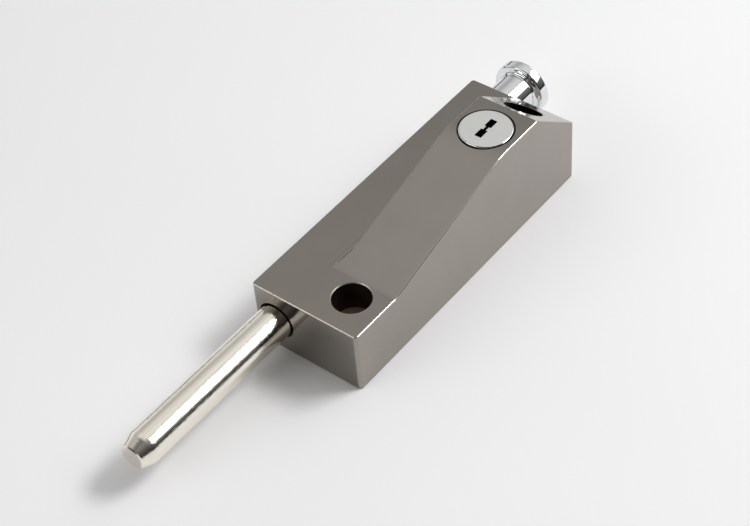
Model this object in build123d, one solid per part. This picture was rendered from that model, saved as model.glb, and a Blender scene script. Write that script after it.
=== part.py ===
from build123d import *
import math
import os

# Floor bolt lock, in millimetres.
# The origin is the middle of the mounting face. X runs from the bolt's tip to the knob, Y across the
# housing toward the bolt, and Z out of the door. The lock is drawn as it stands unlocked, bolt drawn in.

# Housing, outside
BODY_LENGTH = 116.0
BODY_WIDTH = 41.0
SLAB_HEIGHT = 23.0
BLOCK_HEIGHT = 39.0
BLOCK_WIDTH = 23.0
RAMP_INSET = 20.0  # front end to the foot of the ramp
RAMP_LENGTH = 55.0
FOOT_LEAD = 0.7  # the ramp starts gently this far before its foot
FOOT_SLOPE = 6.0  # degrees, where it starts
PLATEAU_LENGTH = 20.0
CREST_RADIUS = 30.0  # ramp into plateau
BROW_RADIUS = 0.5  # plateau into the rear slope
FLARE_RADIUS = 2.5  # block's inner side into the slab
SIDE_DRAFT = 0.4  # the block's inner side leans back by this much
CORNER_RADIUS = 1.2
EDGE_RADIUS = 0.5

# Housing, inside
WALL = 2.2
CORE_RADIUS = 1.0
BUSH_BLOCK_WALL = 2.2
WEB_THICKNESS = 3.0
WEB_TO_FRONT = 28.0
WEB_SIDE = 8.0  # bolt's axis to the web's free side

# Back plate and its screws
PLATE_THICKNESS = 1.5
PLATE_LAP = 1.0  # how far the plate laps over the ledge in the walls
PLATE_SCREW_TO_BOLT = 10.8  # bolt's axis to the screws beside it
PLATE_SCREW_FRONT = 28.0
PLATE_SCREW_REAR = 6.0
SCREW_BOSS = 5.5
SCREW_SHANK = 3.0
SCREW_LENGTH = 8.0
SCREW_HEAD = SCREW_SHANK + 2 * PLATE_THICKNESS
CAP_HEAD = 5.4
CAP_HEIGHT = 1.9
SOCKET_WIDTH = 2.0  # across the flats of the hexagon sockets
SOCKET_DEPTH = 1.0

# Fixing holes
FIXING_TO_END = 12.5
COUNTERBORE = 12.7
COUNTERBORE_SEAT = 12.0  # ledge above the mounting face
FIXING_HOLE = 6.6
FIXING_BOSS_WALL = 1.85
RIM_CHAMFER = 0.3

# Fits
FIXED_FIT = 0.05  # radial gap between pieces that stay together
RUNNING_FIT = 0.05  # radial gap between pieces that turn or slide in each other
CLEARANCE = 0.3  # free gap beside pieces that move past each other
FACE_GAP = 0.2  # gap between flat faces that move past each other

# Bolt
BOLT_TO_SIDE = 8.7
BOLT_DIAMETER = 12.0
BOLT_THROW = 13.0
ROD_REACH = 65.5  # tip to the housing's front face
TIP_FACE = 8.5
TIP_LENGTH = 4.6
TIP_BLEND = 4.0
TIP_EDGE = 0.4
ROD_MOUTH = 13.3
FRONT_BUSH_LENGTH = 10.0
FRONT_BUSH_OUTSIDE = 14.0
STEM_DIAMETER = 8.0
STEM_HOLE = 8.6
STEM_THREAD = 8.0  # length screwed into the spindle
BUFFER_THICKNESS = 0.8

# Return spring
SPRING_DIAMETER = 10.0  # mean
SPRING_WIRE = 1.2

# Locking spindle
GROOVE_CORE = 6.0
SPINDLE_NOSE = 13.0  # spindle's front end to the middle of the first groove
SPINDLE_TAIL = 9.6  # middle of the last groove to the knob
STUD_DIAMETER = 6.0
STUD_IN_SPINDLE = 5.0
STUD_IN_KNOB = 7.0

# Knob
NECK_DIAMETER = 14.5
NECK_MOUTH = 15.1
KNOB_DIAMETER = 20.5
KNOB_THICKNESS = 3.9
KNOB_STAND_OFF = 1.3  # knob to housing with the bolt out
KNOB_FRONT_TAPER = 0.35
KNOB_FRONT_EDGE = 0.6
KNOB_BACK_EDGE = 0.5
NECK_FLARE = 1.2  # radius of the neck's flare into the head
FLARE_STEPS = 2
REAR_BUSH_LENGTH = 6.6
REAR_BUSH_OUTSIDE = 16.0

# Cylinder lock
CYLINDER_TO_REAR = 33.0
RECESS_DIAMETER = 18.5
RECESS_DEPTH = 4.8
FLANGE_THICKNESS = 2.5
FLANGE_GAP = 0.1
BARREL_DIAMETER = 16.0
BARREL_FLAT = 7.5  # axis to the long flat that stops the barrel turning
CLIP_FLAT = 7.1  # axis to the flats that hold the clip
CYLINDER_BOSS = 21.0
CYLINDER_BOSS_RISE = 2.5  # barrel's lower end to the boss
PLUG_HEAD = 17.9
PLUG_PROUD = 0.3
PLUG_HEAD_GAP = 0.25
PLUG_EDGE = 0.5
PLUG_SHANK = 12.5
PLUG_TAIL = 7.0
WAFER_GROOVE_WIDTH = 6.4
WAFER_GROOVE_REACH = 7.3
STOP_STUD = 1.2
STOP_STUD_HEIGHT = 0.9
STOP_RADIUS = 7.5
STOP_GROOVE_DEPTH = 1.0
KEY_TURN = 90.0
CLIP_THICKNESS = 1.0
CLIP_OUTSIDE = 18.4

# Keyway: two broad ends joined by a narrow neck
KEYWAY_LENGTH = 9.3
KEYWAY_WIDTH = 2.5
KEYWAY_END = 3.2
KEYWAY_STEP_LENGTH = 5.0
KEYWAY_STEP = 1.7
KEYWAY_NECK = 1.1
KEYWAY_RISE = 1.7  # barrel's lower end to the bottom of the keyway

# Wafers
WAFER_COUNT = 5
WAFER_DROP = 0.7  # flange to the underside of the top wafer
GROOVE_RISE = 1.2  # barrel's lower end to the wafers' grooves
WAFER_THICKNESS = 0.9
WAFER_LENGTH = 12.2
WAFER_WIDTH = 6.0
WAFER_WINDOW_LENGTH = 9.6
WAFER_WINDOW_WIDTH = 2.8
EAR_LENGTH = 1.2
EAR_REACH = 1.3
WAFER_SPRING_LENGTH = 2.6
WAFER_SPRING_DIAMETER = 1.1
POCKET_GAP = 0.1

# Cam
CAM_DIAMETER = 11.0
CAM_THICKNESS = 3.1
CAM_SOCKET = 2.2
CRANK_PIN = 2.4
ROLL_PIN = 1.5
ROLL_PIN_LENGTH = 10.6

# Latch
LATCH_STROKE = 3.0
LATCH_NOSE = 6.0
LATCH_BODY = 10.0
LATCH_HEIGHT = 4.6
LATCH_SHOULDER = 9.0  # nose tip to the broad body
LATCH_TAIL = 5.5  # cylinder's axis to the latch's back end
NOSE_CHAMFER = 0.5
CRANK_SLOT_GAP = 0.15
GUIDE_FLOOR = 1.6
GUIDE_WALL = 1.5
GUIDE_BACK = 8.0  # cylinder's axis to the guide's closed end
GUIDE_SET_BACK = 1.5  # latch's nose to the guide's open end
EAR_SPACING = 20.0
EAR_WIDTH = 6.0
PILLAR_SET_BACK = 5.5  # latch's nose to the pillars
GUIDE_SCREW_LENGTH = 6.0

# Places worked out from the sizes above
front = -BODY_LENGTH / 2
rear = BODY_LENGTH / 2
right = -BODY_WIDTH / 2
left = BODY_WIDTH / 2
front_inside = front + WALL
rear_inside = rear - WALL
ramp_foot = front + RAMP_INSET
crest = ramp_foot + RAMP_LENGTH
brow = crest + PLATEAU_LENGTH
block_y = right + BLOCK_WIDTH / 2
block_side = right + BLOCK_WIDTH
bolt_y = left - BOLT_TO_SIDE
bolt_z = SLAB_HEIGHT / 2
slab_roof = SLAB_HEIGHT - WALL
cylinder_x = rear - CYLINDER_TO_REAR
fixing_places = [(front + FIXING_TO_END, block_y), (rear - FIXING_TO_END, block_y)]
fixing_boss = COUNTERBORE + 2 * FIXING_BOSS_WALL

web_front = front + WEB_TO_FRONT
web_rear = web_front + WEB_THICKNESS
shoulder = web_front - BUFFER_THICKNESS
groove_width = LATCH_NOSE + 2 * CLEARANCE
first_groove = cylinder_x
spindle_front = first_groove - SPINDLE_NOSE
last_groove = first_groove + BOLT_THROW
knob_front = rear + BOLT_THROW + KNOB_STAND_OFF
neck_start = last_groove + SPINDLE_TAIL

flange_low = BLOCK_HEIGHT - RECESS_DEPTH
flange_top = flange_low + FLANGE_THICKNESS
head_low = flange_top + PLUG_HEAD_GAP
head_top = BLOCK_HEIGHT + PLUG_PROUD
barrel_bore = PLUG_SHANK + 2 * RUNNING_FIT
latch_top = bolt_z + LATCH_HEIGHT / 2
latch_low = bolt_z - LATCH_HEIGHT / 2
cam_low = latch_top + FACE_GAP
cam_top = cam_low + CAM_THICKNESS
barrel_low = cam_top + FACE_GAP
boss_low = barrel_low + CYLINDER_BOSS_RISE
wafer_top = flange_low - WAFER_DROP
groove_low = barrel_low + GROOVE_RISE
wafer_pitch = (wafer_top - groove_low) / WAFER_COUNT
crank_radius = LATCH_STROKE / 2 / math.sin(math.radians(KEY_TURN / 2))
crank_offset = LATCH_STROKE / 2
nose_tip = bolt_y - BOLT_DIAMETER / 2 - CLEARANCE
nose_reach = nose_tip - block_y
guide_top = latch_low - FACE_GAP / 2
pillar_y = nose_tip - PILLAR_SET_BACK
pillar_places = [(cylinder_x - EAR_SPACING / 2, pillar_y), (cylinder_x + EAR_SPACING / 2, pillar_y)]
plate_screw_y = bolt_y - PLATE_SCREW_TO_BOLT
plate_screw_places = [(front + PLATE_SCREW_FRONT, plate_screw_y), (rear - PLATE_SCREW_REAR, plate_screw_y)]


def round_bar(diameter, low, high):
    """A cylinder round Z, from one height to another."""
    bar = Cylinder(diameter / 2, high - low, align=(Align.CENTER, Align.CENTER, Align.MIN))
    return Pos(0, 0, low) * bar


def ring(outside, inside, low, high):
    """A tube round Z."""
    return round_bar(outside, low, high) - round_bar(inside, low, high)


def slab_box(x_low, x_high, y_low, y_high, z_low, z_high):
    """A box between two corners."""
    box = Box(x_high - x_low, y_high - y_low, z_high - z_low, align=(Align.MIN, Align.MIN, Align.MIN))
    return Pos(x_low, y_low, z_low) * box


def on_bolt_line(shape):
    """Lay a shape that was made round Z onto the bolt's axis, so that its heights become X."""
    return Pos(0, bolt_y, bolt_z) * Rot(0, 90, 0) * shape


def at_cylinder(shape):
    """Move a shape that was made round Z onto the key cylinder's axis."""
    return Pos(cylinder_x, block_y, 0) * shape


def edges_at_height(shape, height):
    """The edges that lie whole in the level plane at this height."""
    level = []
    for edge in shape.edges():
        box = edge.bounding_box()
        if abs(box.min.Z - height) < 1e-4 and abs(box.max.Z - height) < 1e-4:
            level.append(edge)
    return level


def socket(diameter_across, low, high):
    """A hexagon socket, as a solid to cut."""
    hexagon = RegularPolygon(diameter_across / math.sqrt(3), 6)
    return Pos(0, 0, low) * extrude(hexagon, high - low)


def block_side_view(bottom):
    """The raised block seen from the side: ramp, rounded crest, plateau and rear slope."""
    start_slope = math.radians(FOOT_SLOPE)
    ramp_slope = math.atan2(BLOCK_HEIGHT - SLAB_HEIGHT, RAMP_LENGTH)
    knee_run = FOOT_LEAD * math.tan(start_slope) / (math.tan(ramp_slope) - math.tan(start_slope))
    knee = (ramp_foot + knee_run, SLAB_HEIGHT + knee_run * math.tan(ramp_slope))
    foot_blend = 0.95 * (FOOT_LEAD + knee_run) / math.tan((ramp_slope - start_slope) / 2)
    corners = [
        (ramp_foot - FOOT_LEAD, bottom),
        (rear, bottom),
        (rear, SLAB_HEIGHT),
        (brow, BLOCK_HEIGHT),
        (crest, BLOCK_HEIGHT),
        knee,
        (ramp_foot - FOOT_LEAD, SLAB_HEIGHT),
    ]
    face = make_face(Polyline(*corners, close=True))
    face = fillet(face.vertices().sort_by_distance((*knee, 0))[0], foot_blend)
    crest_corner = face.vertices().sort_by_distance((crest, BLOCK_HEIGHT, 0))[0]
    face = fillet(crest_corner, CREST_RADIUS)
    brow_corner = face.vertices().sort_by_distance((brow, BLOCK_HEIGHT, 0))[0]
    return fillet(brow_corner, BROW_RADIUS)


def block_section(bottom):
    """The raised block cut across: its inner side leans back and flares out where it meets the slab."""
    flare_top = (block_side, SLAB_HEIGHT + FLARE_RADIUS)
    flare_foot = (block_side + FLARE_RADIUS, SLAB_HEIGHT)
    straight = Polyline(
        flare_foot,
        (block_side + FLARE_RADIUS, bottom),
        (right, bottom),
        (right, BLOCK_HEIGHT),
        (block_side - SIDE_DRAFT, BLOCK_HEIGHT),
        flare_top,
    )
    flare = RadiusArc(flare_foot, flare_top, FLARE_RADIUS)
    return make_face([straight, flare])


def outer_block():
    """The raised block with its rounded edges; its foot is buried in the slab."""
    bottom = SLAB_HEIGHT / 2
    lengthwise = extrude(Plane.XZ * block_side_view(bottom), BODY_WIDTH, both=True)
    across = extrude(Plane.YZ * block_section(bottom), BODY_LENGTH, both=True)
    corners = extrude(RectangleRounded(BODY_LENGTH, BODY_WIDTH, CORNER_RADIUS), BLOCK_HEIGHT)
    block = lengthwise & across & corners
    rounded = []
    for edge in block.edges():
        middle = edge @ 0.5
        above_slab = middle.Z > SLAB_HEIGHT - EDGE_RADIUS
        on_right = middle.Y < right + CORNER_RADIUS
        on_rear = middle.X > rear - CORNER_RADIUS and middle.Y < block_side
        on_inner_side = block_side - SIDE_DRAFT - EDGE_RADIUS < middle.Y < block_side - EDGE_RADIUS / 10
        on_foot = block_side < middle.Y < block_side + FLARE_RADIUS * 0.9
        lengthwise_edge = middle.X < rear - CORNER_RADIUS
        steep = abs(edge.tangent_at(0.5).Y) < 0.9
        seam = abs(middle.Z - SLAB_HEIGHT - FLARE_RADIUS) < EDGE_RADIUS / 10
        if not above_slab or seam:
            continue
        if on_right or on_rear or (lengthwise_edge and steep and (on_inner_side or on_foot)):
            rounded.append(edge)
    return fillet(rounded, EDGE_RADIUS)


def outer_slab():
    """The low slab with rounded corners and top edges."""
    slab = extrude(RectangleRounded(BODY_LENGTH, BODY_WIDTH, CORNER_RADIUS), SLAB_HEIGHT)
    return fillet(edges_at_height(slab, SLAB_HEIGHT), EDGE_RADIUS)


def core():
    """The hollow of the casting, less the bosses, blocks and web that stand in it."""
    length = BODY_LENGTH - 2 * WALL
    width = BODY_WIDTH - 2 * WALL
    plan = extrude(RectangleRounded(length, width, CORE_RADIUS), BLOCK_HEIGHT)
    low_part = slab_box(front, rear, right, left, 0, slab_roof)
    inner_view = offset(block_side_view(-BLOCK_HEIGHT), -WALL)
    high_part = extrude(Plane.XZ * inner_view, BODY_WIDTH, both=True)
    high_part &= slab_box(front, rear, right, block_side - SIDE_DRAFT - WALL, 0, BLOCK_HEIGHT)
    hollow = plan & (low_part + high_part)
    top = BLOCK_HEIGHT
    for place in fixing_places:
        hollow -= Pos(*place) * round_bar(fixing_boss, 0, top)
    for place in plate_screw_places:
        hollow -= Pos(*place) * round_bar(SCREW_BOSS, 0, top)
    clip_room = at_cylinder(round_bar(CLIP_OUTSIDE + 2 * CLEARANCE, barrel_low, boss_low))
    for place in pillar_places:
        hollow -= Pos(*place) * round_bar(EAR_WIDTH, guide_top, top) - clip_room
    hollow -= at_cylinder(round_bar(CYLINDER_BOSS, boss_low, top))
    front_side = bolt_y - FRONT_BUSH_OUTSIDE / 2 - BUSH_BLOCK_WALL
    hollow -= slab_box(front, front_inside + FRONT_BUSH_LENGTH, front_side, left, 0, SLAB_HEIGHT)
    rear_side = bolt_y - REAR_BUSH_OUTSIDE / 2 - BUSH_BLOCK_WALL
    hollow -= slab_box(rear_inside - REAR_BUSH_LENGTH, rear, rear_side, left, 0, SLAB_HEIGHT)
    hollow -= slab_box(web_front, web_rear, bolt_y - WEB_SIDE, left, 0, SLAB_HEIGHT)
    return hollow


def plate_outline(gap):
    """The back plate's outline, smaller than its recess by a gap all round."""
    rim = WALL - PLATE_LAP + gap
    return RectangleRounded(BODY_LENGTH - 2 * rim, BODY_WIDTH - 2 * rim, CORE_RADIUS)


def bolt_bores():
    """What is cut along the bolt's axis."""
    bush_hole = FRONT_BUSH_OUTSIDE + 2 * FIXED_FIT
    rear_hole = REAR_BUSH_OUTSIDE + 2 * FIXED_FIT
    cuts = round_bar(ROD_MOUTH, front - 1, front_inside + 1)
    cuts += round_bar(bush_hole, front_inside, front_inside + FRONT_BUSH_LENGTH)
    cuts += round_bar(STEM_HOLE, web_front, web_rear)
    cuts += round_bar(rear_hole, rear_inside - REAR_BUSH_LENGTH, rear_inside)
    cuts += round_bar(NECK_MOUTH, neck_start - BOLT_THROW - CLEARANCE, rear + 1)
    return on_bolt_line(cuts)


def barrel_section(gap):
    """The barrel cut across: round, with one long flat toward the bolt."""
    radius = BARREL_DIAMETER / 2 + gap
    flat = BARREL_FLAT + gap
    keep = Pos(0, flat - radius) * Rectangle(4 * radius, 2 * radius)
    return Circle(radius) & keep


def housing():
    """The die-cast body."""
    body = outer_slab() + outer_block()
    body -= core()
    recess = extrude(plate_outline(0), PLATE_THICKNESS)
    for place in fixing_places:
        recess -= Pos(*place) * round_bar(fixing_boss, 0, PLATE_THICKNESS)
    body -= recess
    body -= bolt_bores()
    body -= at_cylinder(round_bar(RECESS_DIAMETER, flange_low, head_top))
    body -= at_cylinder(extrude(barrel_section(FIXED_FIT), flange_low))
    for place in fixing_places:
        body -= Pos(*place) * round_bar(FIXING_HOLE, 0, BLOCK_HEIGHT)
        body -= Pos(*place) * round_bar(COUNTERBORE, COUNTERBORE_SEAT, BLOCK_HEIGHT)
    hole = SCREW_SHANK + 2 * FIXED_FIT
    for place in plate_screw_places:
        body -= Pos(*place) * round_bar(hole, 0, SCREW_LENGTH + RIM_CHAMFER)
        body -= Pos(*place) * countersink(FIXED_FIT)
    for place in pillar_places:
        body -= Pos(*place) * round_bar(hole, guide_top, guide_top + GUIDE_SCREW_LENGTH)
    mouth_front = fixing_places[0]
    rim = []
    for edge in edges_at_height(body, SLAB_HEIGHT):
        middle = edge.arc_center if edge.geom_type == GeomType.CIRCLE else None
        if middle is not None and abs(middle.X - mouth_front[0]) < RIM_CHAMFER:
            rim.append(edge)
    return chamfer(rim, RIM_CHAMFER)


def countersink(gap):
    """A screw's conical head, as deep as the plate, larger by a gap."""
    large = SCREW_HEAD / 2 + gap
    small = SCREW_SHANK / 2 + gap
    return Cone(large, small, PLATE_THICKNESS, align=(Align.CENTER, Align.CENTER, Align.MIN))


def back_plate():
    """The inset plate that closes the casting from behind."""
    plate = extrude(plate_outline(FIXED_FIT), PLATE_THICKNESS)
    for place in fixing_places:
        plate -= Pos(*place) * round_bar(fixing_boss + 2 * FIXED_FIT, 0, PLATE_THICKNESS)
    for place in plate_screw_places:
        plate -= Pos(*place) * countersink(FIXED_FIT)
    return plate


def countersunk_screw():
    """A countersunk screw, head down, with its head flush at Z 0."""
    screw = countersink(0) + round_bar(SCREW_SHANK, 0, SCREW_LENGTH)
    return screw - socket(SOCKET_WIDTH, 0, SOCKET_DEPTH)


def back_plate_screws():
    """The two screws of the back plate."""
    return Compound(children=[Pos(*place) * countersunk_screw() for place in plate_screw_places])


def front_bush():
    """The bush that the rod slides in."""
    bore = BOLT_DIAMETER + 2 * RUNNING_FIT
    return on_bolt_line(ring(FRONT_BUSH_OUTSIDE, bore, front_inside, front_inside + FRONT_BUSH_LENGTH))


def rear_bush():
    """The bush that the knob's neck slides in."""
    bore = NECK_DIAMETER + 2 * RUNNING_FIT
    return on_bolt_line(ring(REAR_BUSH_OUTSIDE, bore, rear_inside - REAR_BUSH_LENGTH, rear_inside))


def bolt_rod():
    """The rod: a softly coned tip, a long bar, and a thin stem that carries the spring."""
    tip = front - ROD_REACH
    cone_end = tip + TIP_LENGTH
    radius = BOLT_DIAMETER / 2
    stem = STEM_DIAMETER / 2
    stem_end = spindle_front + STEM_THREAD
    half = Polyline(
        (0, tip),
        (TIP_FACE / 2, tip),
        (radius, cone_end),
        (radius, shoulder),
        (stem, shoulder),
        (stem, stem_end),
        (0, stem_end),
        close=True,
    )
    face = make_face(half)
    blend = face.vertices().sort_by_distance((radius, cone_end, 0))[0]
    face = fillet(blend, TIP_BLEND)
    edge = face.vertices().sort_by_distance((TIP_FACE / 2, tip, 0))[0]
    face = chamfer(edge, TIP_EDGE)
    return on_bolt_line(revolve(Plane.XZ * face, Axis.Z))


def buffer_washer():
    """The nylon washer that softens the stop when the bolt is drawn in."""
    return on_bolt_line(ring(BOLT_DIAMETER, STEM_DIAMETER + 2 * FIXED_FIT, shoulder, web_front))


def return_spring():
    """The compression spring round the stem, from the casting's web to the spindle."""
    outside = SPRING_DIAMETER + SPRING_WIRE
    inside = SPRING_DIAMETER - SPRING_WIRE
    return on_bolt_line(ring(outside, inside, web_rear, spindle_front))


def locking_spindle():
    """The bolt's rear half, with a ring groove for each place in which the latch can hold it."""
    body = round_bar(BOLT_DIAMETER, spindle_front, neck_start)
    for middle in (first_groove, last_groove):
        body -= ring(2 * BOLT_DIAMETER, GROOVE_CORE, middle - groove_width / 2, middle + groove_width / 2)
    thread_hole = STEM_DIAMETER + 2 * FIXED_FIT
    body -= round_bar(thread_hole, spindle_front, spindle_front + STEM_THREAD + CLEARANCE)
    stud_hole = STUD_DIAMETER + 2 * FIXED_FIT
    body -= round_bar(stud_hole, neck_start - STUD_IN_SPINDLE - CLEARANCE, neck_start)
    return on_bolt_line(body)


def knob_stud():
    """The headless stud that joins the knob to the spindle."""
    return on_bolt_line(round_bar(STUD_DIAMETER, neck_start - STUD_IN_SPINDLE, neck_start + STUD_IN_KNOB))


def knob():
    """The turned knob: a smooth neck that flares into a flat, rimmed head."""
    neck = NECK_DIAMETER / 2
    rim = KNOB_DIAMETER / 2
    back = knob_front + KNOB_THICKNESS
    flare = []
    for step in range(FLARE_STEPS + 1):
        angle = math.radians(90 * step / FLARE_STEPS)
        out = NECK_FLARE * (1 - math.cos(angle))
        back_off = NECK_FLARE * (1 - math.sin(angle))
        flare.append((neck + out, knob_front - back_off))
    half = Polyline(
        (0, neck_start),
        (neck, neck_start),
        *flare,
        (rim - KNOB_FRONT_TAPER - KNOB_FRONT_EDGE, knob_front),
        (rim - KNOB_FRONT_TAPER, knob_front + KNOB_FRONT_EDGE),
        (rim, back - KNOB_BACK_EDGE),
        (rim - KNOB_BACK_EDGE, back),
        (0, back),
        close=True,
    )
    body = revolve(Plane.XZ * make_face(half), Axis.Z)
    stud_hole = STUD_DIAMETER + 2 * FIXED_FIT
    body -= round_bar(stud_hole, neck_start, neck_start + STUD_IN_KNOB + CLEARANCE)
    return on_bolt_line(body)


def cylinder_body():
    """The fixed sleeve: flange, barrel with broached grooves for the wafers, and a stop stud on top."""
    body = round_bar(RECESS_DIAMETER - 2 * FLANGE_GAP, flange_low, flange_top)
    body += Pos(0, 0, barrel_low) * extrude(barrel_section(0), flange_low - barrel_low)
    body -= round_bar(barrel_bore, barrel_low, flange_top)
    groove = slab_box(
        -WAFER_GROOVE_REACH,
        WAFER_GROOVE_REACH,
        -WAFER_GROOVE_WIDTH / 2,
        WAFER_GROOVE_WIDTH / 2,
        groove_low,
        flange_top,
    )
    body -= groove & round_bar(2 * WAFER_GROOVE_REACH, groove_low, flange_top)
    clip_low = boss_low - FACE_GAP - CLIP_THICKNESS - FIXED_FIT
    clip_slot = CLIP_THICKNESS + 2 * FIXED_FIT
    across = Box(BARREL_DIAMETER, BARREL_DIAMETER, clip_slot, align=(Align.CENTER, Align.MIN, Align.MIN))
    for turn in (0, 180):
        body -= Rot(0, 0, turn) * Pos(0, CLIP_FLAT, clip_low) * across
    stud = Pos(0, -STOP_RADIUS, 0) * round_bar(STOP_STUD, flange_low, flange_top + STOP_STUD_HEIGHT)
    return at_cylinder(body + stud)


def cylinder_clip():
    """The horseshoe that grips the barrel's flats and holds it in the casting."""
    high = boss_low - FACE_GAP
    reach = CLIP_OUTSIDE
    mouth = Circle(BARREL_DIAMETER / 2 + FLANGE_GAP) + Pos(reach / 2, 0) * Rectangle(reach, reach)
    mouth &= Rectangle(2 * reach, 2 * (CLIP_FLAT + FLANGE_GAP))
    shape = extrude(Circle(CLIP_OUTSIDE / 2) - mouth, CLIP_THICKNESS)
    return at_cylinder(Pos(0, 0, high - CLIP_THICKNESS) * shape)


def keyway():
    """The keyhole's outline: two broad ends, a step beside each, and a narrow neck."""
    outline = Rectangle(KEYWAY_LENGTH, KEYWAY_NECK)
    outline += Rectangle(KEYWAY_STEP_LENGTH, KEYWAY_STEP)
    end_middle = (KEYWAY_LENGTH - KEYWAY_END) / 2
    for side in (1, -1):
        outline += Pos(side * end_middle, 0) * Rectangle(KEYWAY_END, KEYWAY_WIDTH)
    gap_width = KEYWAY_LENGTH - 2 * KEYWAY_END
    nick = (KEYWAY_STEP - KEYWAY_NECK) / 2
    nick_middle = (KEYWAY_STEP + KEYWAY_NECK) / 4
    for side in (1, -1):
        outline -= Pos(-side * gap_width / 4, side * nick_middle) * Rectangle(gap_width / 2, nick)
    return outline


def wafer_heights():
    """The underside of each wafer, from the top down."""
    return [wafer_top - index * wafer_pitch for index in range(WAFER_COUNT)]


def each_wafer(shape):
    """Copy a wafer's piece to each wafer's height, every other one turned to the far side."""
    copies = []
    for index, height in enumerate(wafer_heights()):
        copies.append(at_cylinder(Pos(0, 0, height) * Rot(0, 0, 180 * (index % 2)) * shape))
    return copies


def cylinder_plug():
    """The turning plug: disc head, slotted shank, keyway and a tail that fits the cam."""
    head = round_bar(PLUG_HEAD, head_low, head_top)
    head = chamfer(edges_at_height(head, head_top), PLUG_EDGE)
    stop_path = CenterArc((0, 0), STOP_RADIUS, -KEY_TURN, KEY_TURN)
    stop_groove = SlotArc(stop_path, STOP_STUD + 2 * FACE_GAP)
    head -= Pos(0, 0, head_low) * extrude(stop_groove, STOP_GROOVE_DEPTH)
    shank = round_bar(PLUG_SHANK, barrel_low, head_low)
    tail = round_bar(PLUG_TAIL, cam_top - CAM_SOCKET + FIXED_FIT, barrel_low)
    body = head + shank + tail
    keyway_low = barrel_low + KEYWAY_RISE
    body -= Pos(0, 0, keyway_low) * extrude(keyway(), head_top - keyway_low)
    slot_height = WAFER_THICKNESS + POCKET_GAP
    slot = slab_box(
        -PLUG_SHANK,
        PLUG_SHANK,
        -WAFER_WIDTH / 2 - POCKET_GAP,
        WAFER_WIDTH / 2 + POCKET_GAP,
        -POCKET_GAP / 2,
        slot_height - POCKET_GAP / 2,
    )
    pocket_height = WAFER_SPRING_DIAMETER + 2 * POCKET_GAP
    pocket_low = (WAFER_THICKNESS - pocket_height) / 2
    pocket = slab_box(
        -WAFER_SPRING_LENGTH - POCKET_GAP,
        EAR_LENGTH + POCKET_GAP,
        0,
        WAFER_WIDTH / 2 + EAR_REACH + POCKET_GAP,
        pocket_low,
        pocket_low + pocket_height,
    )
    placed = body.moved(Pos(cylinder_x, block_y, 0))
    for cut in each_wafer(slot + pocket):
        placed -= cut
    pin_hole = ROLL_PIN + 2 * FIXED_FIT
    pin_height = cam_top - CAM_SOCKET / 2
    cross = Pos(0, 0, pin_height) * Rot(0, 90, 0) * round_bar(pin_hole, -PLUG_TAIL, PLUG_TAIL)
    return placed - at_cylinder(cross)


def wafer():
    """One wafer, at the height of the right key: its ends are flush with the plug."""
    limit = Circle(PLUG_SHANK / 2 - FIXED_FIT)
    outline = Rectangle(WAFER_LENGTH, WAFER_WIDTH) & limit
    ear = Pos(EAR_LENGTH / 2, WAFER_WIDTH / 2 + EAR_REACH / 2) * Rectangle(EAR_LENGTH, EAR_REACH)
    outline += ear + Pos(EAR_LENGTH / 2, WAFER_WIDTH / 2) * Rectangle(EAR_LENGTH, EAR_REACH)
    outline -= Rectangle(WAFER_WINDOW_LENGTH, WAFER_WINDOW_WIDTH)
    return extrude(outline, WAFER_THICKNESS)


def plug_wafers():
    """The stack of wafers."""
    return Compound(children=each_wafer(wafer()))


def wafer_springs():
    """The small springs beside the wafers, as plain eight-sided bars."""
    body = extrude(RegularPolygon(WAFER_SPRING_DIAMETER / 2, 8), -WAFER_SPRING_LENGTH)
    side = WAFER_WIDTH / 2 + EAR_REACH / 2
    lying = Pos(-FIXED_FIT, side, WAFER_THICKNESS / 2) * Rot(0, 90, 0) * body
    return Compound(children=each_wafer(lying))


def crank_place(height):
    """The crank pin's place at rest, an eighth of a turn short of square to the latch's path."""
    return Pos(-crank_offset, -crank_offset, height)


def cam():
    """The disc on the plug's tail, with the crank pin that drives the latch."""
    body = round_bar(CAM_DIAMETER, cam_low, cam_top)
    body -= round_bar(PLUG_TAIL + 2 * FIXED_FIT, cam_top - CAM_SOCKET, cam_top)
    body += crank_place(0) * round_bar(CRANK_PIN, latch_low + FACE_GAP, cam_low)
    pin_hole = ROLL_PIN + 2 * FIXED_FIT
    pin_height = cam_top - CAM_SOCKET / 2
    cross = Pos(0, 0, pin_height) * Rot(0, 90, 0) * round_bar(pin_hole, -CAM_DIAMETER, CAM_DIAMETER)
    return at_cylinder(body - cross)


def cam_roll_pin():
    """The cross pin that fastens the cam to the tail."""
    pin_height = cam_top - CAM_SOCKET / 2
    pin = round_bar(ROLL_PIN, -ROLL_PIN_LENGTH / 2, ROLL_PIN_LENGTH / 2)
    return at_cylinder(Pos(0, 0, pin_height) * Rot(0, 90, 0) * pin)


def latch_slide():
    """The latch: a broad body with the crank's cross slot, and a nose that fits the grooves."""
    neck = nose_reach - LATCH_SHOULDER
    outline = Pos(0, (nose_reach - LATCH_TAIL) / 2) * Rectangle(LATCH_NOSE, nose_reach + LATCH_TAIL)
    outline += Pos(0, (neck - LATCH_TAIL) / 2) * Rectangle(LATCH_BODY, neck + LATCH_TAIL)
    corners = outline.vertices().group_by(Axis.Y)[-1]
    outline = chamfer(corners, NOSE_CHAMFER)
    slot_middle = -(crank_radius + crank_offset) / 2
    slot_travel = crank_radius - crank_offset + 2 * CRANK_SLOT_GAP
    slot = SlotCenterToCenter(slot_travel, CRANK_PIN + 2 * CRANK_SLOT_GAP)
    outline -= Pos(slot_middle, -crank_offset) * slot
    return at_cylinder(Pos(0, 0, latch_low) * extrude(outline, LATCH_HEIGHT))


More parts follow.
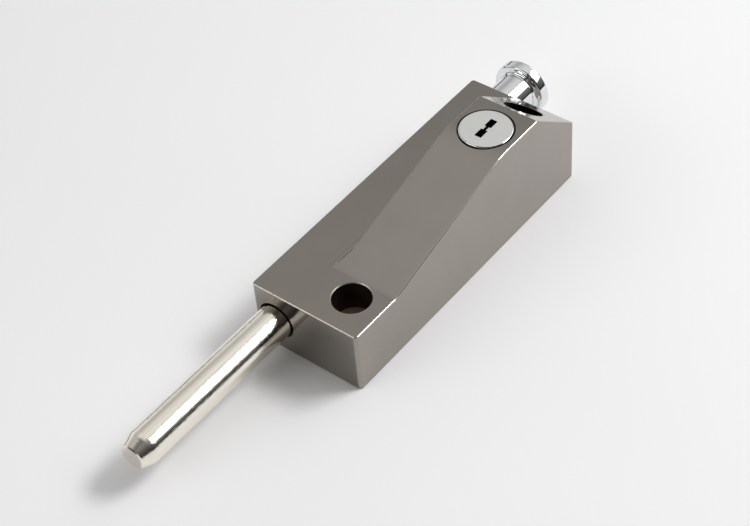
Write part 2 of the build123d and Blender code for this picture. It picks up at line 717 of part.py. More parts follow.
def latch_guide():
    """The channel that carries the latch, hung from two pillars by its ears."""
    inside = LATCH_BODY / 2 + FACE_GAP / 2
    outside = inside + GUIDE_WALL
    low = guide_top - GUIDE_FLOOR
    wall_top = latch_top - FACE_GAP
    ear_y = pillar_y - block_y
    floor = slab_box(-outside, outside, -GUIDE_BACK, nose_reach - GUIDE_SET_BACK, low, guide_top)
    ears = extrude(SlotCenterToCenter(EAR_SPACING, EAR_WIDTH), GUIDE_FLOOR)
    body = floor + Pos(0, ear_y, low) * ears
    for side in (1, -1):
        middle = side * (inside + outside) / 2
        near = middle - GUIDE_WALL / 2
        wall_end = ear_y - EAR_WIDTH / 2
        body += slab_box(near, near + GUIDE_WALL, -GUIDE_BACK, wall_end, low, wall_top)
    hole = SCREW_SHANK + 2 * FIXED_FIT
    for side in (1, -1):
        body -= Pos(side * EAR_SPACING / 2, ear_y, 0) * round_bar(hole, low, guide_top)
    return at_cylinder(body)


def cap_screw():
    """A low-head cap screw, head down, with the underside of its head at Z 0."""
    screw = round_bar(CAP_HEAD, -CAP_HEIGHT, 0) + round_bar(SCREW_SHANK, 0, GUIDE_SCREW_LENGTH)
    return screw - socket(SOCKET_WIDTH, -CAP_HEIGHT, SOCKET_DEPTH - CAP_HEIGHT)


def latch_guide_screws():
    """The two screws that hold the guide under its pillars."""
    low = guide_top - GUIDE_FLOOR
    return Compound(children=[Pos(x, y, low) * cap_screw() for x, y in pillar_places])


NODES = {
    "housing": housing,
    "back_plate": back_plate,
    "back_plate_screws": back_plate_screws,
    "front_bush": front_bush,
    "rear_bush": rear_bush,
    "bolt_rod": bolt_rod,
    "buffer_washer": buffer_washer,
    "return_spring": return_spring,
    "locking_spindle": locking_spindle,
    "knob_stud": knob_stud,
    "knob": knob,
    "cylinder_body": cylinder_body,
    "cylinder_clip": cylinder_clip,
    "cylinder_plug": cylinder_plug,
    "plug_wafers": plug_wafers,
    "wafer_springs": wafer_springs,
    "cam": cam,
    "cam_roll_pin": cam_roll_pin,
    "latch_slide": latch_slide,
    "latch_guide": latch_guide,
    "latch_guide_screws": latch_guide_screws,
}

os.makedirs("parts", exist_ok=True)
for name, make in NODES.items():
    export_step(make(), "parts/" + name + ".step")
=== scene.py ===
import math

import bmesh
import bpy
from mathutils import Matrix, Vector


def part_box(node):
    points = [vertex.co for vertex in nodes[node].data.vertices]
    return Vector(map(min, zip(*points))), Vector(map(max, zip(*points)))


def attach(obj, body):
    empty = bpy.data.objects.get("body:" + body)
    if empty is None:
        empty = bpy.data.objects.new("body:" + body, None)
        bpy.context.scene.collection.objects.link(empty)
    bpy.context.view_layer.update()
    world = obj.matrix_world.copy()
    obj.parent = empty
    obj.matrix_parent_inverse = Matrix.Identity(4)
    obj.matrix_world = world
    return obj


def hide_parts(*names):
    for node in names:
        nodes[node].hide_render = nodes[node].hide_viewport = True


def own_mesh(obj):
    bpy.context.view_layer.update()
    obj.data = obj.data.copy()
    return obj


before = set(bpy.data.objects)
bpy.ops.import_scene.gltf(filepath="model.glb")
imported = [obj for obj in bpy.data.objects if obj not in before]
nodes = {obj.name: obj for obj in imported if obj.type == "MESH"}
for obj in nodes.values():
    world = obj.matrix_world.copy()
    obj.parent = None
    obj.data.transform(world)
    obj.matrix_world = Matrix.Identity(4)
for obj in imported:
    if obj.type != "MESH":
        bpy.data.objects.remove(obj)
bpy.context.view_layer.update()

MM = 0.001
WELD = MM / 1000  # points closer than this are one

# Sizes of the real pieces, in millimetres
KNOB_THICKNESS = 3.9
KNOB_FRONT_TAPER = 0.35
NECK_RADIUS = 7.25
NECK_FLARE = 1.2
NECK_END_EDGE = 0.3
HEAD_FRONT_EDGE = 0.9
HEAD_BACK_EDGE = 0.7
STUD_HOLE_RADIUS = 3.05
STUD_HOLE_DEPTH = 7.3
PLUG_FACE_RADIUS = 8.95
PLUG_FACE_EDGE = 0.5
RECESS_RADIUS = 9.25
KEYWAY_LENGTH = 9.3
KEYWAY_WIDTH = 2.5
WAIST_LENGTH = 1.7
WAIST_WIDTH = 1.1
MOUTH_DEPTH = 1.5
BORE_RADIUS = 6.35
RIM_EDGE = 0.35
SEAT_HEIGHT = 12.0
SPRING_WIRE = 1.2
SPRING_TURNS = 10
WAFER_WIRE = 0.17
WAFER_TURNS = 9

# Where things stand, in millimetres
CYLINDER_AXIS = (25.0, -9.0)
BOLT_AXIS = (11.8, 11.5)  # Y and Z
FIXING_BORES = [(-45.5, -9.0), (45.5, -9.0)]

# Where the finishes, the painted highlights and the painted shade change, in millimetres
# A painted highlight goes on the housing's rounded top edges, within the next five values
EDGE_HIGHLIGHT_MIDDLE = (-11.0, 0.0, 25.0)  # the top's edges lie between two boxes round this point
EDGE_HIGHLIGHT_INNER = (46.2, 19.7, 30.0)
EDGE_HIGHLIGHT_OUTER = (47.5, 21.0, 30.0)
EDGE_HIGHLIGHT_TILT = 0.58  # Z of the normals on a rounded edge, give or take the next value
EDGE_HIGHLIGHT_TILT_SPREAD = 0.35
RECESS_MARGIN = 0.15
BORE_MARGIN = 0.02
SEAT_MARGIN = 1.0
SEAT_BAND = 0.1
KEYWAY_MARGIN = 0.05
KEYWAY_LIP = 0.12  # the keyway's walls keep the satin colour down to here
KEYWAY_REACH = 12.0  # and are painted near-black as shade for twice this below it

# How the finishes change
HOLE_DULLNESS = 0.35
RIM_DULLNESS = 0.3
SEAT_BARENESS = 0.85
GRAIN_GLOSSIEST = 0.8  # of a plain metal's roughness
GRAIN_DULLEST = 1.25
PATTERN_LOW = 0.3  # nearly all of a pattern lies between these two
PATTERN_HIGH = 0.7
PITS_FROM = 0.4  # of the pits' pattern; below this the plate keeps its gloss

# How finely the meshes are drawn
TURNED_SIDES = 96
ROUNDING_STEPS = 8
SHARP_ANGLE = 35  # degrees; a steeper edge stays sharp
PLUG_SHARP_ANGLE = 15
BLANK_MARGIN = 0.1  # by which the blank overlaps the keyway's walls and the cutter its floor
CUTTER_HEADROOM = 1.0
ON_AXIS = 1e-6  # millimetres; a point this near the axis lies on it
CLOSED_PITCH = 1.05  # of the wire, in a spring's two end turns

# The studio, in metres
TABLE_HALF = 4.0
TABLE_DROP = 0.0002

# The room's brightness: each wall's direction and its levels at the heights below the ceiling's
WALL_HEIGHTS = (0.0, 0.09, 0.13, 0.35, 0.6, 0.8, 0.95, 1.0)
WALLS = [
    ((1, 0), (0.03, 0.03, 0.22, 0.34, 0.45, 0.74, 0.84)),
    ((0, 1), (0.03, 0.03, 0.85, 0.85, 0.42, 0.56, 0.80)),
    ((-1, 0), (0.03, 0.03, 0.03, 0.03, 0.04, 0.06, 0.08)),
    ((0, -1), (0.03, 0.03, 0.04, 0.06, 0.12, 0.26, 0.42)),
]
CEILING = 0.75
AIR_TONE = (1.0, 0.995, 0.985)


def linear(code):
    """A colour written as sRGB hex, as the linear RGBA that the shaders want."""
    channels = [int(code[i:i + 2], 16) / 255 for i in (1, 3, 5)]
    return [c / 12.92 if c <= 0.04045 else ((c + 0.055) / 1.055) ** 2.4 for c in channels] + [1.0]


def feed(tree, node, inputs):
    """Gives each of a node's inputs its value, or the output that drives it."""
    for key, value in inputs.items():
        if isinstance(value, bpy.types.NodeSocket):
            tree.links.new(value, node.inputs[key])
        else:
            node.inputs[key].default_value = value


def add(tree, kind, inputs=None, stops=None, **settings):
    """Adds a node with its settings and links; stops are a colour ramp's (place, colour) pairs."""
    node = tree.nodes.new(kind)
    for name, value in settings.items():
        setattr(node, name, value)
    if stops:
        elements = node.color_ramp.elements
        while len(elements) < len(stops):
            elements.new(0.5)
        for element, (place, colour) in zip(elements, stops):
            element.position = place
            element.color = colour
    feed(tree, node, inputs or {})
    return node


def material(name, colour, roughness, metallic=1.0):
    """A Principled material with its uniform values on the shader's own sockets."""
    mat = bpy.data.materials.new(name)
    mat.use_nodes = True
    tree = mat.node_tree
    shader = tree.nodes["Principled BSDF"]
    feed(tree, shader, {"Base Color": linear(colour), "Roughness": roughness, "Metallic": metallic})
    return mat, tree, shader


def surface_pattern(tree, size_mm, detail=3.0, stretch=(1, 1, 1)):
    """A cloudy pattern with features of about this size, stretched along the object's axes."""
    place = add(tree, "ShaderNodeTexCoord").outputs["Object"]
    scale = [1 / (MM * size_mm * s) for s in stretch]
    sized = add(tree, "ShaderNodeMapping", {"Vector": place, "Scale": scale}).outputs["Vector"]
    return add(tree, "ShaderNodeTexNoise", {"Vector": sized, "Scale": 1.0, "Detail": detail}).outputs[0]


def inside_box(tree, middle_mm, half_mm):
    """1 inside an upright box in the object's own space, 0 outside it."""
    place = add(tree, "ShaderNodeTexCoord").outputs["Object"]
    parts = add(tree, "ShaderNodeSeparateXYZ", {"Vector": place})
    share = None
    for axis, (middle, half) in enumerate(zip(middle_mm, half_mm)):
        near = add(tree, "ShaderNodeMath", {0: parts.outputs[axis], 1: middle * MM, 2: half * MM},
                   operation="COMPARE").outputs[0]
        if share is None:
            share = near
        else:
            share = add(tree, "ShaderNodeMath", {0: share, 1: near}, operation="MULTIPLY").outputs[0]
    return share


def inside_bore(tree, middle_mm, radius_mm):
    """1 within this distance of an upright axis, 0 outside it."""
    place = add(tree, "ShaderNodeTexCoord").outputs["Object"]
    flat = add(tree, "ShaderNodeVectorMath", {0: place, 1: (1, 1, 0)}, operation="MULTIPLY")
    middle = (middle_mm[0] * MM, middle_mm[1] * MM, 0)
    away = add(tree, "ShaderNodeVectorMath", {0: flat.outputs[0], 1: middle}, operation="DISTANCE")
    return add(tree, "ShaderNodeMath", {0: away.outputs["Value"], 1: radius_mm * MM},
               operation="LESS_THAN").outputs[0]


def painted_edge_highlight(tree):
    """1 on the rounded edges round the housing's top, where the painted highlight goes, 0 elsewhere."""
    normal = add(tree, "ShaderNodeTexCoord").outputs["Normal"]
    upward = add(tree, "ShaderNodeSeparateXYZ", {"Vector": normal}).outputs["Z"]
    tilted = add(tree, "ShaderNodeMath", {0: upward, 1: EDGE_HIGHLIGHT_TILT, 2: EDGE_HIGHLIGHT_TILT_SPREAD},
                 operation="COMPARE").outputs[0]
    outer = inside_box(tree, EDGE_HIGHLIGHT_MIDDLE, EDGE_HIGHLIGHT_OUTER)
    inner = inside_box(tree, EDGE_HIGHLIGHT_MIDDLE, EDGE_HIGHLIGHT_INNER)
    band = add(tree, "ShaderNodeMath", {0: outer, 1: inner}, operation="SUBTRACT").outputs[0]
    return add(tree, "ShaderNodeMath", {0: tilted, 1: band}, operation="MULTIPLY").outputs[0]


def dress(mat, *names):
    """Gives CAD nodes a material."""
    for name in names:
        nodes[name].data.materials.clear()
        nodes[name].data.materials.append(mat)


# Materials

def black_nickel():
    """Die-cast zinc, polished and plated in black nickel: a dark, warm mirror. The cast skin under the
    plate makes reflections swim a little, and the polish leaves the gloss slightly uneven. A paler
    colour along the rounded top edges and round the screw holes is a painted highlight; the screw holes'
    walls are dull and painted darker as painted shade, down to the bare screw seats, and the recess
    round the key plug is painted near-black as painted shade."""
    mat, tree, shader = material("black_nickel", "#9E9891", roughness=0.11)
    cloud = surface_pattern(tree, size_mm=14, detail=2)
    plate = add(tree, "ShaderNodeValToRGB", {0: cloud},
                stops=[(PATTERN_LOW, linear("#9C968F")), (PATTERN_HIGH, linear("#A09A93"))]).outputs[0]
    gloss = add(tree, "ShaderNodeMapRange", {
        "Value": cloud, "From Min": PATTERN_LOW, "From Max": PATTERN_HIGH,
        "To Min": 0.07, "To Max": 0.12}).outputs[0]
    metal = 1.0
    # Painted shade: the recess round the key plug is painted near-black
    recess_painted_shade = inside_bore(tree, CYLINDER_AXIS, RECESS_RADIUS + RECESS_MARGIN)
    # Painted highlight: a paler colour on the housing's rounded top edges
    patches = [(painted_edge_highlight(tree), "#C9C2B8"), (recess_painted_shade, "#0B0A09")]
    for bore in FIXING_BORES:
        hole = inside_bore(tree, bore, BORE_RADIUS + BORE_MARGIN)
        wider = inside_bore(tree, bore, BORE_RADIUS + RIM_EDGE)
        rim = add(tree, "ShaderNodeMath", {0: wider, 1: hole}, operation="SUBTRACT").outputs[0]
        half = (BORE_RADIUS + SEAT_MARGIN, BORE_RADIUS + SEAT_MARGIN, SEAT_BAND)
        floor_band = inside_box(tree, (*bore, SEAT_HEIGHT), half)
        seat = add(tree, "ShaderNodeMath", {0: hole, 1: floor_band}, operation="MULTIPLY").outputs[0]
        # Painted highlight: a paler colour on the rim round each screw hole. Painted shade: a darker
        # colour on the hole's walls. The seat's colour is its bare metal.
        patches += [(rim, "#B4AEA6"), (hole, "#524C47"), (seat, "#B0917F")]
        for place, dullness in ((hole, HOLE_DULLNESS), (rim, RIM_DULLNESS)):
            gloss = add(tree, "ShaderNodeMath", {0: place, 1: dullness, 2: gloss},
                        operation="MULTIPLY_ADD").outputs[0]
        metal = add(tree, "ShaderNodeMath", {0: seat, 1: -SEAT_BARENESS, 2: metal},
                    operation="MULTIPLY_ADD").outputs[0]
    for place, colour in patches:
        plate = add(tree, "ShaderNodeMix", {"Factor": place, 6: plate, 7: linear(colour)},
                    data_type="RGBA").outputs[2]
    wave = surface_pattern(tree, size_mm=11, detail=1)
    relief = add(tree, "ShaderNodeBump", {"Height": wave, "Strength": 1.0, "Distance": 0.010 * MM})
    # The polishing scratches are far finer in fact, and are drawn at 0.7 mm so that they show
    scratches = surface_pattern(tree, size_mm=0.7, detail=4)
    relief = add(tree, "ShaderNodeBump", {"Height": scratches, "Strength": 1.0, "Distance": 0.0008 * MM,
                                          "Normal": relief.outputs["Normal"]})
    feed(tree, shader, {"Base Color": plate, "Roughness": gloss, "Metallic": metal,
                        "Normal": relief.outputs["Normal"]})
    return mat


def nickel_rod():
    """Turned steel with a nickel plate: a warm bright metal. The turning shows as soft lengthwise marks,
    and the plate is finely pitted, which breaks up the edges of every highlight. Marks and pits are
    finer in fact, and are drawn coarser so that they show."""
    mat, tree, shader = material("nickel_rod", "#F4EFE4", roughness=0.1)
    marks = surface_pattern(tree, size_mm=1.6, detail=2, stretch=(25, 1, 1))
    pits = surface_pattern(tree, size_mm=0.5, detail=5, stretch=(1.6, 1, 1))
    plate = add(tree, "ShaderNodeValToRGB", {0: marks},
                stops=[(PATTERN_LOW, linear("#F1EADC")), (PATTERN_HIGH, linear("#F9F4EA"))])
    gloss = add(tree, "ShaderNodeMapRange", {
        "Value": pits, "From Min": PITS_FROM, "From Max": PATTERN_HIGH,
        "To Min": 0.08, "To Max": 0.16})
    relief = add(tree, "ShaderNodeBump", {"Height": marks, "Strength": 1.0, "Distance": 0.003 * MM})
    relief = add(tree, "ShaderNodeBump", {"Height": pits, "Strength": 1.0, "Distance": 0.05 * MM,
                                          "Normal": relief.outputs["Normal"]})
    feed(tree, shader, {"Base Color": plate.outputs[0], "Roughness": gloss.outputs[0],
                        "Normal": relief.outputs["Normal"]})
    return mat


def bright_chrome():
    """Polished chrome: nearly a perfect mirror, with the faintest film of handling."""
    mat, tree, shader = material("bright_chrome", "#E6E8E9", roughness=0.04)
    film = surface_pattern(tree, size_mm=4)
    gloss = add(tree, "ShaderNodeMapRange", {
        "Value": film, "From Min": PATTERN_LOW, "From Max": PATTERN_HIGH,
        "To Min": 0.02, "To Max": 0.07})
    wave = surface_pattern(tree, size_mm=6, detail=1)
    relief = add(tree, "ShaderNodeBump", {"Height": wave, "Strength": 1.0, "Distance": 0.003 * MM})
    feed(tree, shader, {"Roughness": gloss.outputs[0], "Normal": relief.outputs["Normal"]})
    return mat


def satin_chrome():
    """Satin chrome on brass: a soft bright face that spreads the light. Inside the keyway the metal is
    painted near-black as painted shade. The satin grain is drawn at 0.25 mm, coarser than it is, so that
    it shows."""
    mat, tree, shader = material("satin_chrome", "#F3F5F0", roughness=0.3)
    grain = surface_pattern(tree, size_mm=0.25)
    plate = add(tree, "ShaderNodeValToRGB", {0: grain},
                stops=[(PATTERN_LOW, linear("#F7F8F4")), (PATTERN_HIGH, linear("#FCFDFA"))])
    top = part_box("cylinder_plug")[1][2] / MM
    middle = (*CYLINDER_AXIS, top - KEYWAY_LIP - KEYWAY_REACH)
    half = (KEYWAY_LENGTH / 2 + KEYWAY_MARGIN, KEYWAY_WIDTH / 2 + KEYWAY_MARGIN, KEYWAY_REACH)
    keyway_painted_shade = inside_box(tree, middle, half)
    # Painted shade: the keyway's walls below the lip are painted near-black
    plate = add(tree, "ShaderNodeMix", {"Factor": keyway_painted_shade, 6: plate.outputs[0], 7: linear("#15130F")},
                data_type="RGBA")
    gloss = add(tree, "ShaderNodeMapRange", {
        "Value": grain, "From Min": PATTERN_LOW, "From Max": PATTERN_HIGH,
        "To Min": 0.27, "To Max": 0.33})
    relief = add(tree, "ShaderNodeBump", {"Height": grain, "Strength": 1.0, "Distance": 0.0008 * MM})
    feed(tree, shader, {"Base Color": plate.outputs[2], "Roughness": gloss.outputs[0],
                        "Normal": relief.outputs["Normal"]})
    return mat


def plain_metal(name, colour, roughness, grain_mm, relief_mm):
    """A metal piece inside the lock, with the grain of how it was made; the grain is drawn coarser than
    it is, so that it shows."""
    mat, tree, shader = material(name, colour, roughness)
    grain = surface_pattern(tree, grain_mm, detail=4)
    gloss = add(tree, "ShaderNodeMapRange", {
        "Value": grain, "From Min": PATTERN_LOW, "From Max": PATTERN_HIGH,
        "To Min": roughness * GRAIN_GLOSSIEST, "To Max": roughness * GRAIN_DULLEST})
    relief = add(tree, "ShaderNodeBump", {"Height": grain, "Strength": 1.0, "Distance": relief_mm * MM})
    feed(tree, shader, {"Roughness": gloss.outputs[0], "Normal": relief.outputs["Normal"]})
    return mat


def natural_nylon():
    """Moulded nylon: milky, slightly waxy."""
    mat, tree, shader = material("natural_nylon", "#DDD8C9", roughness=0.45, metallic=0.0)
    grain = surface_pattern(tree, size_mm=0.6)
    milk = add(tree, "ShaderNodeValToRGB", {0: grain},
               stops=[(PATTERN_LOW, linear("#D8D2C2")), (PATTERN_HIGH, linear("#E2DED0"))])
    relief = add(tree, "ShaderNodeBump", {"Height": grain, "Strength": 1.0, "Distance": 0.004 * MM})
    feed(tree, shader, {"Base Color": milk.outputs[0], "Normal": relief.outputs["Normal"]})
    return mat


polished_chrome = bright_chrome()
plug_chrome = satin_chrome()
spring_steel = plain_metal("spring_steel", "#82828A", roughness=0.3, grain_mm=0.4, relief_mm=0.002)
dress(black_nickel(), "housing")
dress(nickel_rod(), "bolt_rod")
dress(polished_chrome, "knob")
dress(plug_chrome, "cylinder_plug")
dress(plain_metal("bright_zinc", "#B9BCC2", roughness=0.3, grain_mm=0.8, relief_mm=0.003),
      "back_plate", "back_plate_screws", "knob_stud", "latch_guide", "latch_guide_screws")
dress(plain_metal("turned_steel", "#A3A3A4", roughness=0.28, grain_mm=0.5, relief_mm=0.003),
      "locking_spindle", "cam", "latch_slide")
dress(spring_steel, "cylinder_clip", "cam_roll_pin", "return_spring", "wafer_springs")
dress(plain_metal("sintered_bronze", "#6A5238", roughness=0.5, grain_mm=0.3, relief_mm=0.006),
      "front_bush", "rear_bush")
dress(plain_metal("stamped_brass", "#D9B368", roughness=0.3, grain_mm=0.4, relief_mm=0.002),
      "plug_wafers")
dress(plain_metal("bare_zinc_casting", "#9C9DA2", roughness=0.4, grain_mm=0.5, relief_mm=0.006),
      "cylinder_body")
dress(natural_nylon(), "buffer_washer")


# Pieces finished as meshes

def mesh_of(name, form):
    """Turns a bmesh into a mesh, with its faces outward."""
    bmesh.ops.recalc_face_normals(form, faces=form.faces)
    mesh = bpy.data.meshes.new(name)
    form.to_mesh(mesh)
    form.free()
    return mesh


def smooth(mesh, sharp_angle):
    """Shades a mesh smooth, up to this angle in degrees."""
    mesh.shade_smooth()
    mesh.set_sharp_from_angle(angle=math.radians(sharp_angle))


def finish_piece(name, form, mat, body, replaced, sharp_angle=SHARP_ANGLE):
    """Turns a bmesh into a piece that rides on a body and stands for a CAD node."""
    mesh = mesh_of(name, form)
    mesh.materials.append(mat)
    smooth(mesh, sharp_angle)
    piece = bpy.data.objects.new(name, mesh)
    bpy.context.scene.collection.objects.link(piece)
    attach(piece, body)
    if replaced:
        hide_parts(replaced)
    return piece


def rounded(corners):
    """An outline with its corners rounded; each corner is (along, out, radius)."""
    outline = []
    last = len(corners) - 1
    for index, (along, out, radius) in enumerate(corners):
        corner = Vector((along, out))
        if radius == 0 or index in (0, last):
            outline.append(corner)
            continue
        back = (Vector(corners[index - 1][:2]) - corner).normalized()
        ahead = (Vector(corners[index + 1][:2]) - corner).normalized()
        half = back.angle(ahead) / 2
        centre = corner + (back + ahead).normalized() * radius / math.sin(half)
        start = corner + back * radius / math.tan(half) - centre
        end = corner + ahead * radius / math.tan(half) - centre
        turn = start.angle_signed(end)
        for step in range(ROUNDING_STEPS + 1):
            outline.append(centre + Matrix.Rotation(-turn * step / ROUNDING_STEPS, 2) @ start)
    return outline


def turned(form, outline, middle, axis):
    """Spins an outline of (along, out) points round an axis into closed rings; millimetres. A point on
    the axis itself becomes a ring of one."""
    other = [i for i in range(3) if i != axis]
    rings = []
    for along, out in outline:
        ring = []
        for side in range(1 if out < ON_AXIS else TURNED_SIDES):
            angle = 2 * math.pi * side / TURNED_SIDES
            point = [0.0, 0.0, 0.0]
            point[axis] = along * MM
            point[other[0]] = (middle[0] + out * math.cos(angle)) * MM
            point[other[1]] = (middle[1] + out * math.sin(angle)) * MM
            ring.append(form.verts.new(point))
        rings.append(ring)
    return rings


def skin(form, rings):
    """Joins each ring to the next one; a ring of one point is a pole."""
    for near, far in zip(rings, rings[1:]):
        count = max(len(near), len(far))
        for side in range(count):
            after = (side + 1) % count
            quad = [near[side % len(near)], near[after % len(near)],
                    far[after % len(far)], far[side % len(far)]]
            form.faces.new(list(dict.fromkeys(quad)))


def turned_knob():
    """The knob as it comes off the lathe: a straight neck, a flare, and a head with rolled edges."""
    low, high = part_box("knob")
    start, back = low[0] / MM, high[0] / MM
    rim = (high[2] - low[2]) / MM / 2
    front = back - KNOB_THICKNESS
    outline = rounded([
        (start + STUD_HOLE_DEPTH, 0, 0),
        (start + STUD_HOLE_DEPTH, STUD_HOLE_RADIUS, 0),
        (start, STUD_HOLE_RADIUS, 0),
        (start, NECK_RADIUS, NECK_END_EDGE),
        (front, NECK_RADIUS, NECK_FLARE),
        (front, rim - KNOB_FRONT_TAPER, HEAD_FRONT_EDGE),
        (back, rim, HEAD_BACK_EDGE),
        (back, 0, 0),
    ])
    form = bmesh.new()
    skin(form, turned(form, outline, BOLT_AXIS, axis=0))
    finish_piece("turned_knob", form, polished_chrome, "bolt", "knob")


def prism(name, outline, low, high):
    """An upright prism over an outline of (x, y) points; millimetres."""
    form = bmesh.new()
    rings = [[form.verts.new((x * MM, y * MM, z * MM)) for x, y in outline] for z in (low, high)]
    skin(form, rings)
    form.faces.new(rings[0])
    form.faces.new(rings[1])
    return bpy.data.objects.new(name, mesh_of(name, form))


def milled_plug():
    """The key plug with the mouth of its keyway as milled: two square lobes joined by a narrow waist.
    A blank first fills the keyway's mouth, and then a cutter opens it."""
    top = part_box("cylinder_plug")[1][2] / MM
    x, y = CYLINDER_AXIS
    long, wide = KEYWAY_LENGTH / 2, KEYWAY_WIDTH / 2
    waist_long, waist_wide = WAIST_LENGTH / 2, WAIST_WIDTH / 2
    blank = [(x + a * (long + BLANK_MARGIN), y + b * (wide + BLANK_MARGIN))
             for a, b in ((-1, -1), (1, -1), (1, 1), (-1, 1))]
    half = [(-long, -wide), (-waist_long, -wide), (-waist_long, -waist_wide),
            (waist_long, -waist_wide), (waist_long, -wide), (long, -wide)]
    mouth = [(x + a, y + b) for a, b in half + [(-a, -b) for a, b in half]]
    floor_height = top - MOUTH_DEPTH
    tools = [("UNION", prism("blank", blank, floor_height, top)),
             ("DIFFERENCE", prism("mouth", mouth, floor_height - BLANK_MARGIN, top + CUTTER_HEADROOM))]
    form = bmesh.new()
    form.from_mesh(nodes["cylinder_plug"].data)
    bmesh.ops.remove_doubles(form, verts=form.verts, dist=WELD)
    plug = finish_piece("milled_plug", form, plug_chrome, "key_plug", "cylinder_plug",
                        PLUG_SHARP_ANGLE)
    for operation, tool in tools:
        bpy.context.scene.collection.objects.link(tool)
        cut = plug.modifiers.new(operation, "BOOLEAN")
        cut.operation = operation
        cut.solver = "EXACT"
        cut.object = tool
    bpy.context.view_layer.update()
    ready = plug.evaluated_get(bpy.context.evaluated_depsgraph_get())
    milled = bpy.data.meshes.new_from_object(ready)
    plug.modifiers.clear()
    plug.data = milled
    for operation, tool in tools:
        bpy.data.objects.remove(tool)
    smooth(milled, PLUG_SHARP_ANGLE)


def plug_face_edge():
    """The rolled edge of the plug's face, which rounds off its chamfer."""
    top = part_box("cylinder_plug")[1][2] / MM
    outline = []
    for step in range(ROUNDING_STEPS + 1):
        angle = math.pi / 2 * step / ROUNDING_STEPS
        out = PLUG_FACE_RADIUS - PLUG_FACE_EDGE * (1 - math.sin(angle))
        outline.append((top - PLUG_FACE_EDGE * (1 - math.cos(angle)), out))
    form = bmesh.new()
    rings = turned(form, outline, CYLINDER_AXIS, axis=2)
    skin(form, rings + rings[:1])
    finish_piece("plug_face_edge", form, polished_chrome, "key_plug", None)


def coil(form, start, length, middle, radius, wire, turns, points_per_turn, sides):
    """A round-wire spring along X with one closed turn at each end; millimetres."""
    run = length - wire
    closed = wire * CLOSED_PITCH
    open_pitch = (run - 2 * closed) / (turns - 2)
    rings = []
    for step in range(turns * points_per_turn + 1):
        turn = step / points_per_turn
        along = closed * min(turn, 1.0) + open_pitch * max(0.0, min(turn, turns - 1) - 1)
        along += closed * max(0.0, turn - turns + 1)
        angle = 2 * math.pi * turn
        outward = Vector((0, math.cos(angle), math.sin(angle)))
        centre = Vector((start + wire / 2 + along, *middle)) + outward * radius
        ring = []
        for side in range(sides):
            round_wire = 2 * math.pi * side / sides
            offset = outward * math.cos(round_wire) + Vector((1, 0, 0)) * math.sin(round_wire)
            ring.append(form.verts.new((centre + offset * wire / 2) * MM))
        rings.append(ring)
    skin(form, rings)
    form.faces.new(rings[0])
    form.faces.new(rings[-1])


def wound_return_spring():
    """The compression spring round the bolt's stem, drawn at one length; the real one shortens as the
    bolt is thrown.
    """
    low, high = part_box("return_spring")
    start, length = low[0] / MM, (high[0] - low[0]) / MM
    radius = (high[2] - low[2]) / MM / 2 - SPRING_WIRE / 2
    form = bmesh.new()
    coil(form, start, length, BOLT_AXIS, radius, SPRING_WIRE, SPRING_TURNS,
         points_per_turn=40, sides=12)
    spring = finish_piece("wound_return_spring", form, spring_steel, "housing", "return_spring")
    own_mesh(spring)


def solids_of(node):
    """The lowest and highest corners of each separate solid in a CAD node, in millimetres, from the
    lowest solid up."""
    form = bmesh.new()
    form.from_mesh(nodes[node].data)
    bmesh.ops.remove_doubles(form, verts=form.verts, dist=WELD)
    waiting = set(form.verts)
    corners = []
    while waiting:
        found = [waiting.pop()]
        for vert in found:
            for edge in vert.link_edges:
                other = edge.other_vert(vert)
                if other in waiting:
                    waiting.remove(other)
                    found.append(other)
        low = [min(v.co[i] for v in found) / MM for i in range(3)]
        high = [max(v.co[i] for v in found) / MM for i in range(3)]
        corners.append((low, high))
    form.free()
    return sorted(corners, key=lambda pair: pair[0][2])


def wound_wafer_springs():
    """The small spring beside each wafer."""
    form = bmesh.new()
    for low, high in solids_of("wafer_springs"):
        middle = [(low[i] + high[i]) / 2 for i in (1, 2)]
        radius = (high[2] - low[2]) / 2 - WAFER_WIRE / 2
        coil(form, low[0], high[0] - low[0], middle, radius, WAFER_WIRE, WAFER_TURNS,
             points_per_turn=14, sides=6)
    finish_piece("wound_wafer_springs", form, spring_steel, "key_plug", "wafer_springs")


turned_knob()
milled_plug()
plug_face_edge()
wound_return_spring()
wound_wafer_springs()


# Studio

def pale_table():
    """A pale seamless table."""
    mesh = bpy.data.meshes.new("studio_floor")
    form = bmesh.new()
    bmesh.ops.create_grid(form, x_segments=1, y_segments=1, size=TABLE_HALF)
    form.to_mesh(mesh)
    form.free()
    table = bpy.data.objects.new("studio_floor", mesh)
    table.location.z = -TABLE_DROP
    bpy.context.scene.collection.objects.link(table)
    mat, tree, shader = material("pale_table", "#F2F2F2", roughness=0.6, metallic=0.0)
    cloud = surface_pattern(tree, size_mm=150, detail=2)
    shade = add(tree, "ShaderNodeValToRGB", {0: cloud},
                stops=[(PATTERN_LOW, linear("#F1F1F2")), (PATTERN_HIGH, linear("#F3F3F4"))])
    feed(tree, shader, {"Base Color": shade.outputs[0], "Specular IOR Level": 0.2})
    mesh.materials.append(mat)


def softbox(name, towards, distance, width, height, watts):
    """A soft box in this direction that faces the object; metres."""
    light = bpy.data.lights.new(name, "AREA")
    light.shape = "RECTANGLE"
    light.size = width
    light.size_y = height
    light.energy = watts
    holder = bpy.data.objects.new(name, light)
    away = Vector(towards).normalized()
    holder.location = away * distance
    holder.rotation_euler = away.to_track_quat("Z", "Y").to_euler()
    bpy.context.scene.collection.objects.link(holder)


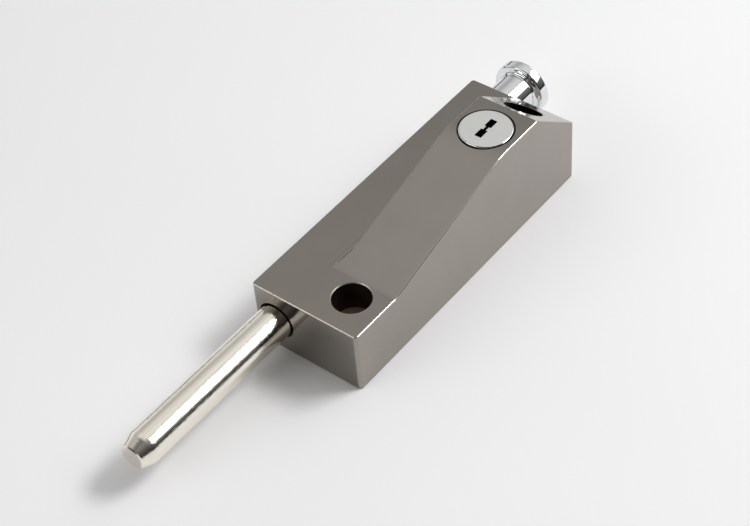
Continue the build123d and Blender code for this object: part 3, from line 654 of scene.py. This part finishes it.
def studio_air():
    """The room: a pale ceiling, pale walls ahead of the camera and dark ones behind it. Each wall fades
    into the next one."""
    world = bpy.data.worlds.new("studio_air")
    bpy.context.scene.world = world
    world.use_nodes = True
    tree = world.node_tree
    tree.nodes.clear()
    way = add(tree, "ShaderNodeTexCoord").outputs["Generated"]
    height = add(tree, "ShaderNodeSeparateXYZ", {"Vector": way}).outputs["Z"]
    level = add(tree, "ShaderNodeVectorMath", {0: way, 1: (1, 1, 0)}, operation="MULTIPLY")
    heading = add(tree, "ShaderNodeVectorMath", {0: level.outputs[0]}, operation="NORMALIZE")
    light = None
    for towards, levels in WALLS:
        stops = [(place, [amount * tone for tone in AIR_TONE] + [1.0])
                 for place, amount in zip(WALL_HEIGHTS, (*levels, CEILING))]
        wall = add(tree, "ShaderNodeValToRGB", {0: height}, stops=stops)
        facing = add(tree, "ShaderNodeVectorMath", {0: heading.outputs[0], 1: (*towards, 0)},
                     operation="DOT_PRODUCT")
        near = add(tree, "ShaderNodeMath", {0: facing.outputs["Value"], 1: 0.0}, operation="MAXIMUM")
        share = add(tree, "ShaderNodeMath", {0: near.outputs[0], 1: near.outputs[0]},
                    operation="MULTIPLY")
        shown = add(tree, "ShaderNodeBackground",
                    {"Color": wall.outputs[0], "Strength": share.outputs[0]}).outputs[0]
        if light is None:
            light = shown
        else:
            light = add(tree, "ShaderNodeAddShader", {0: light, 1: shown}).outputs[0]
    add(tree, "ShaderNodeOutputWorld", {"Surface": light})


def camera():
    """The photograph's viewpoint, solved from the housing's straight edges."""
    data = bpy.data.cameras.new("photo_camera")
    data.sensor_width = 36.0
    data.lens = 86.4
    data.clip_start = 0.01
    holder = bpy.data.objects.new("photo_camera", data)
    across = Vector((0.61322323, -0.78704714, -0.06718683))
    down = Vector((-0.59210533, -0.4016985, -0.69860546))
    ahead = Vector((0.52284659, 0.46818277, -0.71234566))
    place = (-0.31933, -0.26497, 0.41735)
    turn = Matrix((across, -down, -ahead)).transposed().to_4x4()
    holder.matrix_world = Matrix.Translation(place) @ turn
    bpy.context.scene.collection.objects.link(holder)
    bpy.context.scene.camera = holder


pale_table()
studio_air()
softbox("key_softbox", towards=(0.70, -0.46, 0.73), distance=1.4, width=1.8, height=0.52, watts=4.8)
softbox("key_core", towards=(0.54, -0.42, 0.80), distance=1.3, width=0.5, height=0.34, watts=8.9)
softbox("fill_softbox", towards=(-0.78, 0.36, 0.50), distance=0.9, width=0.62, height=0.26, watts=1.3)
camera()
bpy.context.scene.view_settings.view_transform = "Standard"
